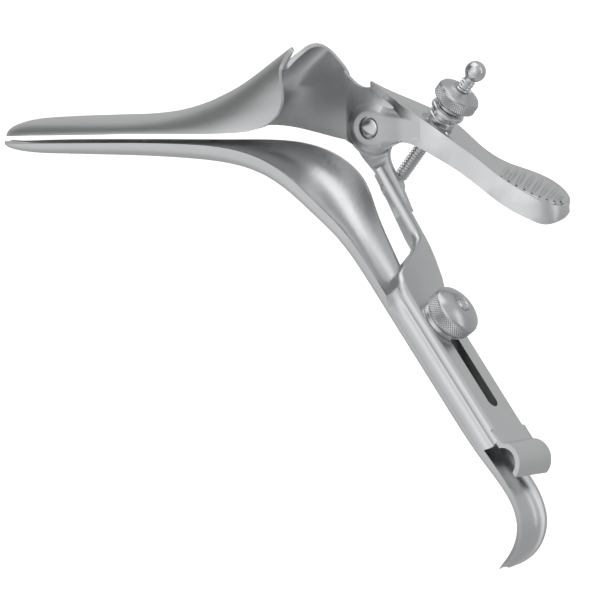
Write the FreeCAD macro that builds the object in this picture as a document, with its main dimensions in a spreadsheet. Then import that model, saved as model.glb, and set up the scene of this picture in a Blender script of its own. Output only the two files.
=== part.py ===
import FreeCAD, Part
import math
import os

# Bivalve speculum with one open side.  X runs along the blades, tips towards -X; Z is up;
# the origin is the point where the hinge line crosses the blades' middle plane.
# Handle coordinates: t runs down the handle, n points from the handle's floor to the operator.

doc = FreeCAD.newDocument("bivalve_speculum")
sheet = doc.addObject("Spreadsheet::Sheet", "Sizes")
SIZES = [
    ("blade_wall", 1.5, "sheet thickness of both blades"),
    ("blade_half_width", 18.3, "half width of the blades at the flare"),
    ("wall_outer", 17.2, "outer face of the upper blade's side wall"),
    ("wall_thick", 1.8, "thickness of the side wall and boss"),
    ("arm_gap", 0.8, "space between side wall and yoke arm, taken by the washer"),
    ("arm_thick", 2.0, "thickness of the yoke arm"),
    ("handle_angle", 55.2, "slope of the handle below the blades"),
    ("trough_half", 8.2, "half width of the handle's trough"),
    ("trough_floor", -22.4, "outer floor of the trough, across the handle"),
    ("trough_depth", 6.0, "depth of the trough"),
    ("slide_half", 10.5, "half width of the slide's channel"),
    ("slide_face", -7.5, "operator face of the slide, across the handle"),
    ("slide_thick", 1.8, "sheet thickness of the slide"),
    ("slide_flange", 11.0, "depth of the slide's side flanges"),
    ("slot_width", 5.2, "width of the slot"),
    ("slot_top", 71.6, "upper end of the slot, along the handle"),
    ("slot_end", 110.5, "lower end of the slot, along the handle"),
    ("clamp_rest", 3.4, "clamp stud below the slot's upper end, with the blades together"),
    ("stud_radius", 2.4, "clamp stud"),
    ("shoulder_radius", 4.0, "stud shoulder that carries the slide"),
    ("shoulder_gap", 0.1, "play between shoulder and slide"),
    ("washer_radius", 8.6, "clamp washer"),
    ("washer_thick", 1.9, "clamp washer"),
    ("clamp_radius", 9.5, "clamp nut"),
    ("clamp_height", 6.2, "knurled height of the clamp nut"),
    ("dome_height", 2.4, "domed face of the clamp nut"),
    ("stud_proud", 0.5, "stud end above the dome"),
    ("rod_side", 23.4, "sideways place of the rod"),
    ("rod_angle", 48.0, "lean of the rod from the blades' line"),
    ("rod_radius", 2.4, "threaded rod"),
    ("rod_length", 29.0, "rod pivot to the lever's plate"),
    ("rod_top", 21.9, "rod above the lever's plate"),
    ("ball_radius", 3.7, "ball end"),
    ("eye_radius", 4.3, "flattened eye of the rod"),
    ("eye_thick", 2.6, "flattened eye of the rod"),
    ("nut_radius", 8.0, "thumb nut"),
    ("nut_height", 5.2, "knurled height of the thumb nut"),
    ("nut_foot", 9.6, "underside of the knurled disc above the lever"),
    ("nut_dome", 1.9, "domed top of the thumb nut"),
    ("neck_radius", 4.5, "neck of the thumb nut"),
    ("collar_radius", 6.3, "polished swivel ring"),
    ("collar_thick", 1.9, "polished swivel ring"),
    ("collar_foot", 5.6, "underside of the swivel ring above the lever"),
    ("ring_radius", 5.3, "lower ring of the collar"),
    ("ring_foot", 1.8, "underside of the lower ring above the lever"),
    ("ring_thick", 2.2, "lower ring of the collar"),
    ("sleeve_radius", 3.9, "sleeve of the collar inside the lever's hole"),
    ("sleeve_down", 1.2, "sleeve below the lever's top face"),
    ("thread_fit", 0.06, "running clearance round the rod and studs"),
    ("hole_radius", 5.6, "lever's hole round the sleeve"),
    ("pivot_radius", 2.5, "hinge screw shank"),
    ("pivot_head", 3.4, "inner end of the hinge screw"),
    ("seat_radius", 3.95, "round seat of the screw in the boss"),
    ("pivot_fit", 0.05, "running clearance of the hinge screw"),
    ("lever_near", 13.6, "near edge of the lever's plate"),
    ("lever_far", 52.0, "reach of the lever's plate towards the hinge side"),
    ("web_thick", 1.8, "thickness of the web along the lever's near edge"),
    ("lever_thick", 2.2, "thickness of the lever's plate"),
]
for row, (alias, value, note) in enumerate(SIZES, start=1):
    sheet.set("A%d" % row, note)
    sheet.set("B%d" % row, "%g" % value)
    sheet.setAlias("B%d" % row, alias)
doc.recompute()

V = FreeCAD.Vector
Y_AXIS = V(0, 1, 0)


def size(name):
    return float(sheet.get(name))


slope = math.radians(size("handle_angle"))
DOWN = V(math.cos(slope), 0, -math.sin(slope))
OUT = V(math.sin(slope), 0, math.cos(slope))
lean = math.radians(size("rod_angle"))
ALONG_ROD = V(math.cos(lean), 0, math.sin(lean))
LEVER_HOLE = V(22.5, size("rod_side"), 0.5)
ROD_FOOT = LEVER_HOLE - ALONG_ROD * size("rod_length")
CLAMP = DOWN * (size("slot_top") + size("clamp_rest"))
ARM_INNER = size("wall_outer") + size("arm_gap")
ARM_OUTER = ARM_INNER + size("arm_thick")


def handle(t, n, y=0.0):
    return DOWN * t + OUT * n + Y_AXIS * y


def quarter(centre, rim, fullness, steps):
    """Points from a section's middle line to its rim: level at the middle, upright at the rim."""
    points = []
    for step in range(1, steps + 1):
        angle = math.pi / 2 * step / steps
        across = math.sin(angle) * (1 + fullness * math.cos(angle) ** 2)
        rise = 1 - math.cos(angle) * (1 + fullness * math.sin(angle) ** 2)
        gap = rim - centre
        points.append(centre + V(gap.x * rise, gap.y * across, gap.z * rise))
    return points


def sheet_solid(rows, inner):
    """A bent sheet between its outer and inner rows of points."""
    faces = []
    for grid in (rows, inner):
        surface = Part.BSplineSurface()
        rows_mults = [4] + [1] * (len(grid) - 4) + [4]
        cols_mults = [4] + [1] * (len(grid[0]) - 4) + [4]
        surface.buildFromPolesMultsKnots(grid, rows_mults, cols_mults,
                                         list(range(len(rows_mults))), list(range(len(cols_mults))),
                                         False, False, 3, 3)
        faces.append(surface)

    def border(surface, side):
        u0, u1, v0, v1 = surface.bounds()
        if side == "start":
            return surface.uIso(u0)
        if side == "end":
            return surface.uIso(u1)
        if side == "near":
            return surface.vIso(v0)
        return surface.vIso(v1)

    pieces = [faces[0].toShape(), faces[1].toShape()]
    for side in ("start", "end", "near", "far"):
        pieces.append(Part.makeRuledSurface(border(faces[0], side).toShape(),
                                            border(faces[1], side).toShape()))
    skin = Part.Compound(pieces)
    skin.sewShape(0.001)
    solid = Part.Solid(skin.Shells[0] if skin.ShapeType != "Shell" else skin)
    if solid.Volume < 0:
        solid.reverse()
    return solid


def through(stations, count, waves):
    """Stations on smooth curves through a table's rows, with the run's direction; they stand
    closer at both ends and, with two waves, at the bend halfway as well."""
    width = len(stations[0])
    places = [0.0]
    for one, two in zip(stations, stations[1:]):
        places.append(places[-1] + math.hypot(two[0] - one[0], two[1] - one[1]))
    columns = []
    for k in range(0, width):
        curve = Part.BSplineCurve()
        curve.interpolate([V(place, row[k], 0) for place, row in zip(places, stations)],
                          Parameters=places)
        columns.append(curve)
    result = []
    for step in range(count + 1):
        turn = 2 * math.pi * waves
        share = step / count
        place = places[-1] * (share - 0.75 * math.sin(turn * share) / turn)
        row = [curve.value(place).y for curve in columns]
        slope_x = columns[0].tangent(place)[0]
        slope_z = columns[1].tangent(place)[0]
        run = V(slope_x.y / max(slope_x.x, 1e-6), 0, slope_z.y / max(slope_z.x, 1e-6))
        run.normalize()
        result.append((row, run))
    return result


QUARTER_COUNT = 5


def section(centre, up, near, far, near_deep, far_deep, fullness, thick):
    """One station of a trough: points of its outer face, then of its inner face."""
    lines = []
    for less in (0.0, thick):
        start = centre + up * less
        left = quarter(start, centre + up * near_deep - Y_AXIS * (near - less), fullness[0],
                       QUARTER_COUNT)
        right = quarter(start, centre + up * far_deep + Y_AXIS * (far - less), fullness[1],
                        QUARTER_COUNT)
        lines.append(list(reversed(left)) + [start] + right)
    return lines


def spline_wire(runs):
    """A closed wire; each run is a list of points, joined smoothly if it has three or more."""
    edges = []
    for run in runs:
        if len(run) == 2:
            edges.append(Part.LineSegment(run[0], run[1]).toShape())
        else:
            curve = Part.BSplineCurve()
            curve.interpolate(run)
            edges.append(curve.toShape())
    return Part.Wire(edges)


def plate(runs, y0, y1):
    """Plate between two sideways places from an outline of (x, z) runs."""
    wire = spline_wire([[V(x, y0, z) for x, z in run] for run in runs])
    return Part.Face(wire).extrude(V(0, y1 - y0, 0))


def rod_between(start, direction, length, radius):
    return Part.makeCylinder(radius, length, start, direction)


def smooth(base, radius, keep):
    """Rounds the chosen edges one by one, leaving out an edge that cannot take the radius."""
    edges = [edge for edge in base.Edges if keep(edge)]
    try:
        rounded = base.makeFillet(radius, edges)
        if rounded.isValid() and rounded.Volume > 0:
            return rounded
    except Exception:
        pass
    return base


def feature(name, shape):
    piece = doc.addObject("Part::Feature", name)
    piece.Label = name
    piece.Shape = shape
    piece.Placement = FreeCAD.Placement()
    return piece


# Upper blade: arch over the passage, side wall with boss, lever with its thumb pad.
WALL = size("blade_wall")
HALF = size("blade_half_width")
SIDE = size("wall_outer")
# x, crown height, near half width, far half width, near rim, far rim, far fullness, lift, reach
UPPER = [
    (-138.2, -0.2, 2.2, 2.2, -0.9, -0.9, 0.0, 0, 0),
    (-137.0, 1.0, 5.0, 5.0, -0.9, -0.9, 0.0, 0, 0),
    (-133.5, 2.3, 8.0, 8.0, -0.7, -0.7, 0.0, 0, 0),
    (-126.0, 3.5, 10.3, 10.3, -0.4, -0.4, 0.0, 0, 0),
    (-112.0, 4.2, 12.5, 12.4, -0.2, -0.2, 0.0, 0, 0),
    (-95.0, 4.6, 14.0, 13.8, 0.0, 0.0, 0.0, 0, 0),
    (-79.0, 5.0, 15.2, 14.9, 0.3, 0.3, 0.0, 0, 0),
    (-65.0, 6.5, 16.4, 15.8, 0.3, 0.3, 0.06, 0, 0),
    (-53.0, 9.4, 17.5, 16.6, 0.3, 0.6, 0.14, 0, 0),
    (-43.0, 13.2, HALF, SIDE - 0.1, 0.4, 1.0, 0.22, 0.6, 0.5),
    (-34.5, 17.2, HALF, SIDE - 0.1, 0.6, 1.3, 0.29, 3.2, 3.0),
    (-28.0, 20.0, HALF - 0.2, SIDE - 0.1, 1.0, 1.2, 0.33, 6.8, 6.0),
    (-23.0, 21.8, HALF - 0.6, SIDE - 0.1, 1.6, 0.8, 0.35, 10.0, 8.6),
]
rows, inside = [], []
for row, run in through(UPPER, 18, 1):
    x, crown, near, far, low, high, full, lift, reach = row
    thick = min(WALL, 0.4 * (crown - low), 0.4 * near)
    pair = section(V(x, 0, crown), V(0, 0, -1), near, far, crown - low, crown - high,
                   (0.08, full), thick)
    for line in pair:
        for j, point in enumerate(line):
            swell = math.sin(math.pi * abs(j - QUARTER_COUNT) / QUARTER_COUNT)
            point.x += max(reach, 0) * swell
            point.z += max(lift, 0) * swell
    rows.append(pair[0])
    inside.append(pair[1])
blade = sheet_solid(rows, inside)

wall_inner = SIDE - size("wall_thick")
WALL_TOP = [(-30.0, 21.5), (-26.5, 25.4), (-23.2, 27.8), (-18.5, 27.4), (-13.9, 24.1),
            (-8.4, 17.8), (-4.2, 14.6), (0.9, 14.2)]
RIDGE = [(0.9, 14.2), (5.7, 12.6), (10.5, 10.0), (15.5, 7.1), (20.2, 4.3), (24.9, 1.2)]
UNDER = [(24.9, -9.4), (21.7, -7.3), (17.9, -5.2), (13.0, -4.9), (8.6, -6.2), (4.2, -8.2),
         (-1.0, -8.4), (-5.6, -6.6), (-10.3, -4.4), (-17.2, -1.4), (-24.0, 0.5), (-30.0, 1.3)]
outline = [WALL_TOP, RIDGE, [RIDGE[-1], UNDER[0]], UNDER, [UNDER[-1], WALL_TOP[0]]]
side_wall = plate(outline, wall_inner, SIDE)

# The boss stands a little proud of the wall on the near side.
boss = Part.makeCone(9.9, 7.4, 1.7, V(0, wall_inner + 0.4, 0), V(0, -1, 0))

# Lever's plate, seen from above: it swings away from the open side, narrows, and ends in a
# rounded thumb pad.  The web stands along its near edge and round its end.
near = size("lever_near")
EDGE = [(20.0, near), (25.0, 14.4), (30.0, 16.5), (36.0, 20.0), (41.0, 22.6), (47.0, 24.6),
        (52.0, 26.2), (57.0, 28.6), (60.5, 31.4), (62.6, 35.0), (63.2, 39.0), (62.2, 43.6)]
BACK = [(62.2, 43.6), (60.0, 47.4), (56.5, 50.2), (52.5, 51.4), (48.8, 50.4), (45.4, 47.2),
        (42.4, 42.6), (39.6, 38.8), (36.0, 36.4), (31.0, 35.4), (26.0, 35.4), (20.0, 33.4),
        (14.6, 28.4), (10.0, 22.6), (5.4, 17.6), (1.2, near + 1.6)]
TOP = [(1.5, 16.2), (6.5, 12.8), (14.0, 7.3), (22.0, 0.9), (30.0, -5.8), (40.0, -13.5),
       (50.0, -20.3), (60.0, -26.3), (68.0, -30.8)]
depth = size("lever_thick")
BOTTOM = [(x - 0.6 * depth, z - 0.8 * depth) for x, z in reversed(TOP)]
strip = plate([TOP, [TOP[-1], BOTTOM[0]], BOTTOM, [BOTTOM[-1], TOP[0]]], near - 1, size("lever_far"))


column_reach = 60.0


def seen_from_above(runs):
    """Tall column over a plan outline of (x, y) runs."""
    wire = spline_wire([[V(x, y, -column_reach) for x, y in run] for run in runs])
    return Part.Face(wire).extrude(V(0, 0, 2 * column_reach))


def inward(distance):
    """The near edge moved into the plate by a distance."""
    moved = []
    for one, two in zip(EDGE, EDGE[1:] + [BACK[1]]):
        run = V(two[0] - one[0], two[1] - one[1], 0)
        run.normalize()
        moved.append((one[0] - run.y * distance, one[1] + run.x * distance))
    return moved


web_thick = size("web_thick")
START = (1.2, near + web_thick / 2)
plate_edge = inward(web_thick / 2)
column = seen_from_above([[START, plate_edge[0]], plate_edge, [plate_edge[-1], BACK[1]], BACK[1:],
                          [BACK[-1], START]])
inset = list(reversed(inward(web_thick)))
ramp_start, ramp_end = (9.8, wall_inner), (13.6, near)
band = seen_from_above([[ramp_start, ramp_end], [ramp_end, EDGE[0]], EDGE, [EDGE[-1], inset[0]], inset,
                        [inset[-1], ramp_start]])
WEB_TOP = [(3.6, 13.6), (10.5, 10.0), (15.5, 7.1), (20.2, 4.3), (25.3, 1.0), (28.7, -1.8),
           (32.3, -5.1), (36.0, -8.4), (39.5, -11.6), (44.4, -16.1), (49.4, -19.9), (54.0, -23.0),
           (58.0, -25.7), (61.8, -28.0), (64.5, -29.6)]
WEB_UNDER = [(65.4, -33.2), (63.7, -34.6), (60.0, -34.8), (55.9, -32.9), (52.9, -31.2), (46.3, -27.0),
             (39.2, -20.8), (32.0, -14.2), (24.4, -8.9), (19.6, -6.3), (13.0, -4.9), (3.6, -5.9)]
sides = plate([WEB_TOP, [WEB_TOP[-1], WEB_UNDER[0]], WEB_UNDER, [WEB_UNDER[-1], WEB_TOP[0]]],
              near - 1, size("lever_far"))
web = band.common(sides)
lever = strip.common(column)
lever = smooth(lever, 0.5, lambda edge: edge.Length > 12)
upper = blade.fuse(lever.fuse(web).fuse(side_wall).fuse(boss))
hole = rod_between(LEVER_HOLE - ALONG_ROD * 6, ALONG_ROD, 12, size("hole_radius"))
hole = hole.fuse(rod_between(LEVER_HOLE - ALONG_ROD * 6 - V(1.2, 0, 0), ALONG_ROD, 12,
                             size("hole_radius")))
pivot_hole = rod_between(V(0, 0, 0), Y_AXIS, 40, size("pivot_radius") + size("pivot_fit"))
seat = rod_between(V(0, 0, 0), Y_AXIS, wall_inner + 0.5, size("seat_radius"))
upper = upper.cut([hole, pivot_hole, seat])
if len(upper.Solids) > 1:
    upper = max(upper.Solids, key=lambda part: part.Volume)
feature("upper_blade", upper)

# Lower blade: one trough from the tip, round the flare, down the handle and into the hook.
trough = size("trough_half")
floor = size("trough_floor")
deep = size("trough_depth")
# x, z, near half width, far half width, near depth, far depth
LOWER = [
    (-141.0, -3.0, 2.2, 2.2, 0.7, 0.7),
    (-139.8, -4.2, 5.0, 5.0, 1.4, 1.4),
    (-136.0, -5.7, 8.0, 8.0, 2.6, 2.6),
    (-128.0, -6.9, 10.5, 10.5, 3.8, 3.8),
    (-112.0, -7.4, 12.5, 12.4, 4.4, 4.3),
    (-95.0, -7.8, 14.0, 13.8, 4.9, 4.5),
    (-79.0, -8.2, 15.2, 14.9, 5.4, 4.8),
    (-64.0, -9.0, 16.4, 15.8, 6.0, 5.3),
    (-50.0, -10.1, 17.6, 16.5, 6.7, 6.4),
    (-38.0, -12.0, HALF, 16.8, 7.6, 8.3),
    (-28.0, -15.4, HALF - 0.3, 16.8, 8.4, 10.8),
    (-19.5, -20.6, 17.0, 16.5, 8.5, 12.8),
    (-11.6, -28.0, 13.6, 14.9, 7.5, 13.2),
]
stations = list(LOWER)
for t, a, b, c, d, drop in [(30, 8.9, 10.4, 6.3, 10.2, 0.9)]:
    spot = handle(t, floor - drop)
    stations.append((spot.x, spot.z, a, b, c, d))
HANDLE_RUN = (43.0, 58.0, 74.0, 90.0, 104.0, 115.0)
for t in HANDLE_RUN:
    spot = handle(t, floor)
    stations.append((spot.x, spot.z, trough, trough, deep, max(deep, 8.4 - 0.2 * (t - HANDLE_RUN[0]))))
HOOK = [(54.8, -116.4, 8.2, 5.6), (60.7, -122.8, 8.4, 5.2), (65.1, -129.0, 8.6, 5.0),
        (67.0, -135.0, 8.5, 4.6), (65.2, -141.4, 7.9, 4.0), (61.6, -146.2, 6.6, 2.9),
        (58.4, -149.2, 4.4, 1.5), (57.2, -150.2, 3.0, 0.9)]
for x, z, half, depth in HOOK:
    stations.append((x, z, half, half, depth, depth))
rows, inside = [], []
for row, run in through(stations, 40, 2):
    x, z, a, b, c, d = row
    up = V(-run.z, 0, run.x)
    pair = section(V(x, 0, z), up, a, b, c, d, (0.1, 0.1), min(WALL, 0.4 * c, 0.4 * a))
    rows.append(pair[0])
    inside.append(pair[1])
lower = sheet_solid(rows, inside)
stud_hole = rod_between(CLAMP + OUT * (floor - 3), OUT, 8, size("stud_radius") + 0.01)
seat_step = rod_between(CLAMP + OUT * (floor + WALL), OUT, 4, size("shoulder_radius") + 0.02)
lower = lower.cut([stud_hole, seat_step])
feature("lower_blade", lower)

# Frame: yoke arm, L-shaped shoulder, slotted slide with side flanges, rolled end.
face = size("slide_face")
thin = size("slide_thick")
wide = size("slide_half")
deep_flange = size("slide_flange")
# The strap passes above the rod's rivet, so its faces keep their height over the rivet.
rivet_level = OUT.dot(V(ROD_FOOT.x, 0, ROD_FOOT.z))
# t, near side, far side, near depth, far depth, face
STRAIGHT = [
    (13.0, ARM_OUTER - 5.3, ARM_OUTER, 2.6, 6.0, rivet_level + 5.0726),
    (24.0, ARM_OUTER - 5.3, ARM_OUTER, 2.6, 6.6, rivet_level + 4.4726),
    (38.0, ARM_OUTER - 5.3, ARM_OUTER, 2.7, 7.8, rivet_level + 3.6726),
]
SHOULDER = [
    STRAIGHT[-1],
    (42.0, 13.9, ARM_OUTER, 2.8, 7.8, -6.0),
    (46.0, 8.2, 19.8, 3.0, 7.9, -6.3),
    (50.0, -1.0, 19.1, 3.6, 8.1, -6.6),
    (54.0, -8.0, 18.1, 5.5, 8.4, -6.9),
    (58.0, -10.2, 16.8, 8.3, 9.0, -7.1),
    (62.0, -wide, 15.0, 10.2, 9.8, -7.4),
    (66.0, -wide, 13.0, 10.9, 10.5, face),
    (70.0, -wide, 11.3, deep_flange, deep_flange, face),
    (74.0, -wide, wide, deep_flange, deep_flange, face),
]
CHANNEL = [
    (74.0, -wide, wide, deep_flange, deep_flange, face),
    (118.5, -wide, wide, deep_flange, deep_flange, face),
    (120.6, -wide, wide, deep_flange - 0.6, deep_flange - 0.6, face),
    (122.2, -wide, wide, deep_flange - 1.9, deep_flange - 1.9, face),
    (123.2, -wide, wide, deep_flange - 3.6, deep_flange - 3.6, face),
    (123.8, -wide, wide, deep_flange - 6.0, deep_flange - 6.0, face),
]


def corner(centre, radius, start, stop):
    middle = (start + stop) / 2
    pts = [centre + V(0, 0, 0) + (Y_AXIS * math.cos(a) + OUT * math.sin(a)) * radius
           for a in (start, middle, stop)]
    return Part.Arc(pts[0], pts[1], pts[2]).toShape()


def channel(t, near, far, near_deep, far_deep, level):
    base = DOWN * t
    bend = 2.4
    small = bend - thin

    def at(y, n):
        return base + Y_AXIS * y + OUT * n

    def line(p, q):
        return Part.LineSegment(p, q).toShape()

    ncen = at(near + bend, level - bend)
    fcen = at(far - bend, level - bend)
    half = math.pi / 2
    return Part.Wire([
        line(at(near, level - near_deep), at(near, level - bend)),
        corner(ncen, bend, math.pi, half),
        line(at(near + bend, level), at(far - bend, level)),
        corner(fcen, bend, half, 0),
        line(at(far, level - bend), at(far, level - far_deep)),
        line(at(far, level - far_deep), at(far - thin, level - far_deep)),
        line(at(far - thin, level - far_deep), at(far - thin, level - bend)),
        corner(fcen, small, 0, half),
        line(at(far - bend, level - thin), at(near + bend, level - thin)),
        corner(ncen, small, half, math.pi),
        line(at(near + thin, level - bend), at(near + thin, level - near_deep)),
        line(at(near + thin, level - near_deep), at(near, level - near_deep)),
    ])


pieces = [Part.makeLoft([channel(*row) for row in STRAIGHT], True, True),
          Part.makeLoft([channel(*row) for row in SHOULDER], True, True),
          Part.makeLoft([channel(*row) for row in CHANNEL], True, True)]
slide = pieces[0].fuse(pieces[1:])
ARM_LEFT = [(1.6, -19.6), (-1.6, -14.8), (-5.4, -10.6), (-8.2, -5.6), (-8.8, 0.0)]
ARM_EYE = [(-8.8, 0.0), (-6.2, 6.2), (0.0, 8.8), (6.2, 6.2), (8.8, 0.0)]
ARM_RIGHT = [(8.8, 0.0), (6.6, -5.4), (4.9, -9.4), (6.4, -14.6), (9.6, -20.4), (15.0, -28.2)]
arm = plate([ARM_LEFT, ARM_EYE, ARM_RIGHT, [ARM_RIGHT[-1], (7.2, -31.5)], [(7.2, -31.5), ARM_LEFT[0]]],
            ARM_INNER, ARM_OUTER)

# The rolled end: an arch raised from the slide's face, its free edge turned down.
roll_out, roll_in = [], []
middle_t, middle_n, roll_radius = 130.6, -11.2, 6.9
for degrees in (20, 46, 72, 98, 124, 150, 172):
    a = math.radians(degrees)
    for radius, line in ((roll_radius, roll_out), (roll_radius - thin, roll_in)):
        line.append(handle(middle_t - radius * math.cos(a), middle_n + radius * math.sin(a),
                           -wide + 0.4))
roll_wire = spline_wire([roll_out, [roll_out[-1], roll_in[-1]], list(reversed(roll_in)),
                         [roll_in[0], roll_out[0]]])
roll = Part.Face(roll_wire).extrude(V(0, 2 * wide - 0.8, 0))
neck_start, neck_length = 119.0, 6.6
neck = Part.makeBox(neck_length, 2 * wide - 0.8, thin)
neck.Placement = FreeCAD.Placement(handle(neck_start, face - thin, -wide + 0.4),
                                   FreeCAD.Rotation(DOWN, Y_AXIS, OUT, "ZXY"))
frame = slide.fuse([arm, neck, roll])
slot_half = size("slot_width") / 2
top, end = size("slot_top") + slot_half, size("slot_end") - slot_half
slot = rod_between(handle(top, -14), OUT, 12, slot_half).fuse(
    rod_between(handle(end, -14), OUT, 12, slot_half))
box = Part.makeBox(end - top, 2 * slot_half, 12)
box.Placement = FreeCAD.Placement(handle(top, -14, -slot_half), FreeCAD.Rotation(DOWN, Y_AXIS, OUT, "ZXY"))
rivet_hole = rod_between(V(ROD_FOOT.x, 0, ROD_FOOT.z), Y_AXIS, 40, 1.75)
frame = frame.cut([slot.fuse(box), pivot_hole, rivet_hole])
feature("frame", frame)

# Hinge screw: inner end in the boss's seat, shank, threaded tail through the arm; washer and nut.
inner_face = wall_inner - 0.9
tail = ARM_OUTER + 3.4


def bind(item, key, rule):
    """Sets a size of a piece, by a rule on the sheet's sizes where one is given."""
    if isinstance(rule, str):
        item.setExpression(key, "Sizes." + rule)
    else:
        setattr(item, key, rule)


def stack(name, start, direction, steps, bore=0.0):
    """Round piece built of cylinders and cones one after another; each step is a radius, a
    length and, for a cone, the radius at its other end.  A radius is a number or a rule."""
    turn = FreeCAD.Rotation(V(0, 0, 1), direction)
    parts = []
    place = 0.0
    for number, (radius, length, taper) in enumerate(steps):
        kind = "Part::Cone" if taper else "Part::Cylinder"
        item = doc.addObject(kind, "%s_step%d" % (name, number))
        item.Height = length
        if taper:
            bind(item, "Radius1", radius)
            bind(item, "Radius2", taper)
        else:
            bind(item, "Radius", radius)
        item.Placement = FreeCAD.Placement(start + direction * place, turn)
        parts.append(item)
        place += length
    body = parts[0]
    if len(parts) > 1:
        body = doc.addObject("Part::MultiFuse", name + "_stack")
        body.Shapes = parts
    if bore:
        drill = doc.addObject("Part::Cylinder", name + "_bore")
        drill.Radius, drill.Height = bore, place + 2
        drill.Placement = FreeCAD.Placement(start - direction, turn)
        cut = doc.addObject("Part::Cut", name)
        cut.Base, cut.Tool = body, drill
        body = cut
    body.Label = name
    return body


shank = size("pivot_radius")
stack("hinge_screw", V(0, inner_face - 0.2, 0), Y_AXIS, [
    ("pivot_head - 0.4", 0.4, "pivot_head"),
    ("pivot_head", 0.9, 0),
    ("pivot_radius", tail - inner_face - 1.1, 0)])
stack("hinge_washer", V(0, SIDE + 0.05, 0), Y_AXIS, [(5.6, size("arm_gap") - 0.1, 0)],
      shank + size("pivot_fit"))
stack("hinge_nut", V(0, ARM_OUTER + 0.02, 0), Y_AXIS, [(4.4, 2.4, 0), (4.4, 0.7, 3.7)],
      shank + 0.02)

# Rod with its flattened eye, its rivet on the frame, the ball, thumb nut and swivel collar.
eye_back = size("eye_thick") / 2
eye = rod_between(ROD_FOOT - Y_AXIS * eye_back, Y_AXIS, 2 * eye_back, size("eye_radius"))
bar = rod_between(ROD_FOOT + ALONG_ROD * 2.0, ALONG_ROD, size("rod_length") + size("rod_top") - 2.0,
                  size("rod_radius"))
flat = Part.makeBox(14, 20, 14, V(-7, eye_back, -7))
flat.translate(ROD_FOOT)
flat2 = Part.makeBox(14, 20, 14, V(-7, -20 - eye_back, -7))
flat2.translate(ROD_FOOT)
rod = eye.fuse(bar).cut([flat, flat2, rod_between(ROD_FOOT - Y_AXIS * 5, Y_AXIS, 10, 1.8)])
feature("rod", rod)
stack("rod_rivet", V(ROD_FOOT.x, ARM_INNER - 0.5, ROD_FOOT.z), Y_AXIS, [
    (2.9, 0.5, 0), (1.7, size("rod_side") + eye_back - ARM_INNER + 0.15, 0), (3.4, 1.1, 2.6)])
ball_at = LEVER_HOLE + ALONG_ROD * (size("rod_top") + 2.6)
sphere = doc.addObject("Part::Sphere", "ball_round")
sphere.setExpression("Radius", "Sizes.ball_radius")
sphere.Placement = FreeCAD.Placement(ball_at, FreeCAD.Rotation())
socket = doc.addObject("Part::Cylinder", "ball_socket")
socket.Radius, socket.Height = size("rod_radius") + 0.01, 10
socket.Placement = FreeCAD.Placement(LEVER_HOLE + ALONG_ROD * (size("rod_top") - 10 + 0.02),
                                     FreeCAD.Rotation(V(0, 0, 1), ALONG_ROD))
ball = doc.addObject("Part::Cut", "rod_ball")
ball.Base, ball.Tool = sphere, socket
ball.Label = "rod_ball"
bore = size("rod_radius") + size("thread_fit")
foot = size("nut_foot")
neck_foot = size("collar_foot") + size("collar_thick") + 0.05
high = size("nut_height")
stack("thumb_nut", LEVER_HOLE + ALONG_ROD * neck_foot, ALONG_ROD, [
    ("neck_radius", foot - neck_foot, 0),
    ("nut_radius - 1.4", 1.2, "nut_radius"),
    ("nut_radius", high - 1.2, 0),
    ("nut_radius", size("nut_dome"), "nut_radius - 4.2")], bore)
stack("nut_collar", LEVER_HOLE - ALONG_ROD * size("sleeve_down"), ALONG_ROD, [
    ("sleeve_radius", size("sleeve_down") + size("ring_foot"), 0),
    ("ring_radius", size("ring_thick"), 0),
    ("sleeve_radius", size("collar_foot") - size("ring_foot") - size("ring_thick"), 0),
    ("collar_radius", size("collar_thick"), 0)], bore + 0.3)

# Clamp: stud fixed in the handle, washer and nut on the slide.
stud_base = floor + 0.02
shoulder_top = face - thin - size("shoulder_gap")
washer_base = face + 0.05
nut_base = washer_base + size("washer_thick") + 0.05
stud_top = nut_base + size("clamp_height") + size("dome_height") + size("stud_proud")
stack("clamp_stud", CLAMP + OUT * stud_base, OUT, [
    ("stud_radius", WALL, 0),
    ("shoulder_radius", shoulder_top - stud_base - WALL, 0),
    ("stud_radius", stud_top - shoulder_top, 0)])
stud_bore = size("stud_radius") + size("thread_fit")
stack("clamp_washer", CLAMP + OUT * washer_base, OUT, [
    ("washer_radius", size("washer_thick") - 0.5, 0),
    ("washer_radius", 0.5, "washer_radius - 0.5")], stud_bore + 0.1)
stack("clamp_nut", CLAMP + OUT * nut_base, OUT, [
    ("clamp_radius - 0.9", 0.9, "clamp_radius"),
    ("clamp_radius", size("clamp_height") - 0.9, 0),
    ("clamp_radius", 0.45 * size("dome_height"), "clamp_radius - 2.0"),
    ("clamp_radius - 2.0", 0.55 * size("dome_height"), 4.0)], stud_bore)

doc.recompute()
NODES = ["upper_blade", "lower_blade", "frame", "hinge_screw", "hinge_washer", "hinge_nut", "rod",
         "rod_rivet", "rod_ball", "thumb_nut", "nut_collar", "clamp_stud", "clamp_washer", "clamp_nut"]
os.makedirs("parts", exist_ok=True)
for item in doc.Objects:
    if "Invalid" in item.State or "Error" in item.State:
        raise RuntimeError("%s is in state %s" % (item.Name, item.State))
for label in NODES:
    piece = doc.getObjectsByLabel(label)[0]
    shape = piece.Shape
    if shape.isNull() or not shape.isValid() or not shape.Solids:
        raise RuntimeError("%s has no valid solid" % label)
    print(label, len(shape.Solids), round(shape.Volume, 1), shape.BoundBox)
    shape.exportStep("parts/%s.step" % label)
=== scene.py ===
import math

import bmesh
import bpy
from mathutils import Matrix, Vector


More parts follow.
